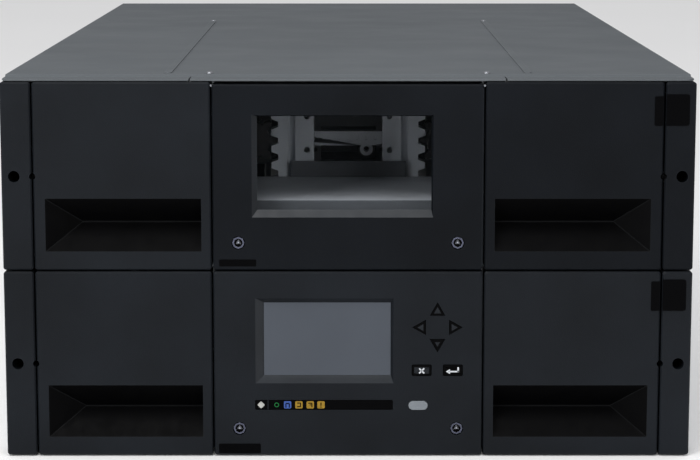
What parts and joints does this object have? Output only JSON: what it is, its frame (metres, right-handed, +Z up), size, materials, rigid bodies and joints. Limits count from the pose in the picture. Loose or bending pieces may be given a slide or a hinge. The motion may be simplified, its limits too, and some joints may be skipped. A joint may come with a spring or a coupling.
{
  "type": "tape library",
  "caption": "Stacked modular tape library with pull-out slot magazines, a rack-and-pinion robot lift, a viewing window and an operator panel.",
  "frame": {"origin": "middle of the underside of the base module, under the centre of the bounding box", "axes": "+X to the right seen from the front, +Y from the front face to the back, +Z up"},
  "size_m": [0.4826, 0.8926, 0.27],
  "materials": {
    "casing_paint": "satin grey powder coat",
    "zinc_sheet": "plated sheet steel",
    "inner_paint": "satin grey",
    "screw_steel": "plated",
    "bezel_plastic": "fine spark texture",
    "window_clear": "tinted clear",
    "display_face": "glossy",
    "black_gloss": "glossy",
    "circuit_board": "solder resist",
    "key_plastic": "satin",
    "power_key": "silver",
    "tray_plastic": "moulded",
    "cartridge_plastic": "moulded",
    "shaft_steel": "ground",
    "motor_black": "satin",
    "sled_alloy": "plated sheet"
  },
  "bodies": {
    "library": {"top_cover": "casing_paint", "base_chassis": "zinc_sheet", "expansion_chassis": "zinc_sheet", "base_rear_panel": "zinc_sheet", "expansion_rear_panel": "zinc_sheet", "bay_covers": "zinc_sheet", "magazine_guides": "zinc_sheet", "window_deck": "inner_paint", "rack_post_front_left": "inner_paint", "rack_post_front_right": "inner_paint", "rack_post_back_left": "inner_paint", "rack_post_back_right": "inner_paint", "cover_screws": "screw_steel", "rear_thumbscrews": "screw_steel", "captive_screws": "screw_steel", "window_bezel": "bezel_plastic", "operator_panel": "bezel_plastic", "ear_cap_base_left": "bezel_plastic", "ear_cap_base_right": "bezel_plastic", "ear_cap_expansion_left": "bezel_plastic", "ear_cap_expansion_right": "bezel_plastic", "window_pane": "window_clear", "display_glass": "display_face", "status_lens": "black_gloss", "display_module": "black_gloss", "key_board": "circuit_board", "controller_card": "circuit_board"},
    "key_up_cap": {"key_up": "key_plastic"},
    "key_down_cap": {"key_down": "key_plastic"},
    "key_left_cap": {"key_left": "key_plastic"},
    "key_right_cap": {"key_right": "key_plastic"},
    "key_back_cap": {"key_back": "key_plastic"},
    "key_enter_cap": {"key_enter": "key_plastic"},
    "power_button_cap": {"power_button": "power_key"},
    "magazine_base_left": {"magazine_bezel_base_left": "bezel_plastic", "magazine_tray_base_left": "tray_plastic", "cartridges_base_left": "cartridge_plastic"},
    "magazine_base_right": {"magazine_bezel_base_right": "bezel_plastic", "magazine_tray_base_right": "tray_plastic", "cartridges_base_right": "cartridge_plastic"},
    "magazine_expansion_left": {"magazine_bezel_expansion_left": "bezel_plastic", "magazine_tray_expansion_left": "tray_plastic", "cartridges_expansion_left": "cartridge_plastic"},
    "magazine_expansion_right": {"magazine_bezel_expansion_right": "bezel_plastic", "magazine_tray_expansion_right": "tray_plastic", "cartridges_expansion_right": "cartridge_plastic"},
    "lift": {"lift_frame": "inner_paint", "guide_rods": "shaft_steel", "lift_motor": "motor_black"},
    "lift_shaft_left": {"lift_shaft_left": "shaft_steel"},
    "lift_shaft_right": {"lift_shaft_right": "shaft_steel"},
    "carriage": {"carriage": "tray_plastic"},
    "turntable": {"turntable": "tray_plastic", "barcode_reader": "black_gloss"},
    "picker": {"picker": "shaft_steel"},
    "drive_base": {"tape_drive_base": "sled_alloy"},
    "drive_expansion": {"tape_drive_expansion": "sled_alloy"},
    "supply_left": {"power_supply_left": "sled_alloy"},
    "supply_right": {"power_supply_right": "sled_alloy"}
  },
  "joints": [
    {"name": "key_up_press", "type": "slide", "parent": "library", "child": "key_up_cap", "axis": [0, 1, 0], "range_m": [0, 0.001], "stiffness_N_per_m": 500, "springref_m": -0.001},
    {"name": "key_down_press", "type": "slide", "parent": "library", "child": "key_down_cap", "axis": [0, 1, 0], "range_m": [0, 0.001], "stiffness_N_per_m": 500, "springref_m": -0.001},
    {"name": "key_left_press", "type": "slide", "parent": "library", "child": "key_left_cap", "axis": [0, 1, 0], "range_m": [0, 0.001], "stiffness_N_per_m": 500, "springref_m": -0.001},
    {"name": "key_right_press", "type": "slide", "parent": "library", "child": "key_right_cap", "axis": [0, 1, 0], "range_m": [0, 0.001], "stiffness_N_per_m": 500, "springref_m": -0.001},
    {"name": "key_back_press", "type": "slide", "parent": "library", "child": "key_back_cap", "axis": [0, 1, 0], "range_m": [0, 0.001], "stiffness_N_per_m": 500, "springref_m": -0.001},
    {"name": "key_enter_press", "type": "slide", "parent": "library", "child": "key_enter_cap", "axis": [0, 1, 0], "range_m": [0, 0.001], "stiffness_N_per_m": 500, "springref_m": -0.001},
    {"name": "power_button_press", "type": "slide", "parent": "library", "child": "power_button_cap", "axis": [0, 1, 0], "range_m": [0, 0.001], "stiffness_N_per_m": 500, "springref_m": -0.001},
    {"name": "magazine_base_left_pull", "type": "slide", "parent": "library", "child": "magazine_base_left", "axis": [0, -1, 0], "range_m": [0, 0.52]},
    {"name": "magazine_base_right_pull", "type": "slide", "parent": "library", "child": "magazine_base_right", "axis": [0, -1, 0], "range_m": [0, 0.52]},
    {"name": "magazine_expansion_left_pull", "type": "slide", "parent": "library", "child": "magazine_expansion_left", "axis": [0, -1, 0], "range_m": [0, 0.52]},
    {"name": "magazine_expansion_right_pull", "type": "slide", "parent": "library", "child": "magazine_expansion_right", "axis": [0, -1, 0], "range_m": [0, 0.52]},
    {"name": "lift_rise", "type": "slide", "parent": "library", "child": "lift", "axis": [0, 0, 1], "range_m": [-0.18, 0.016]},
    {"name": "lift_shaft_left_turn", "type": "hinge", "parent": "lift", "child": "lift_shaft_left", "pos_m": [-0.073, -0.2737, 0.206], "axis": [0, 1, 0], "range_deg": [-720, 720]},
    {"name": "lift_shaft_right_turn", "type": "hinge", "parent": "lift", "child": "lift_shaft_right", "pos_m": [0.073, -0.2737, 0.206], "axis": [0, 1, 0], "range_deg": [-720, 720]},
    {"name": "carriage_run", "type": "slide", "parent": "lift", "child": "carriage", "axis": [0, 1, 0], "range_m": [-0.095, 0.095]},
    {"name": "turntable_turn", "type": "hinge", "parent": "carriage", "child": "turntable", "pos_m": [0, -0.0757, 0.206], "axis": [0, 0, 1], "range_deg": [-90, 90]},
    {"name": "picker_reach", "type": "slide", "parent": "turntable", "child": "picker", "axis": [0, 1, 0], "range_m": [0, 0.095]},
    {"name": "drive_base_pull", "type": "slide", "parent": "library", "child": "drive_base", "axis": [0, 1, 0], "range_m": [0, 0.27]},
    {"name": "drive_expansion_pull", "type": "slide", "parent": "library", "child": "drive_expansion", "axis": [0, 1, 0], "range_m": [0, 0.27]},
    {"name": "supply_left_pull", "type": "slide", "parent": "library", "child": "supply_left", "axis": [0, 1, 0], "range_m": [0, 0.205]},
    {"name": "supply_right_pull", "type": "slide", "parent": "library", "child": "supply_right", "axis": [0, 1, 0], "range_m": [0, 0.205]}
  ],
  "couplings": [
    {"joint": "lift_shaft_left_turn", "follows": "lift_rise", "rad_per_m": 62.5},
    {"joint": "lift_shaft_right_turn", "follows": "lift_rise", "rad_per_m": -62.5}
  ]
}
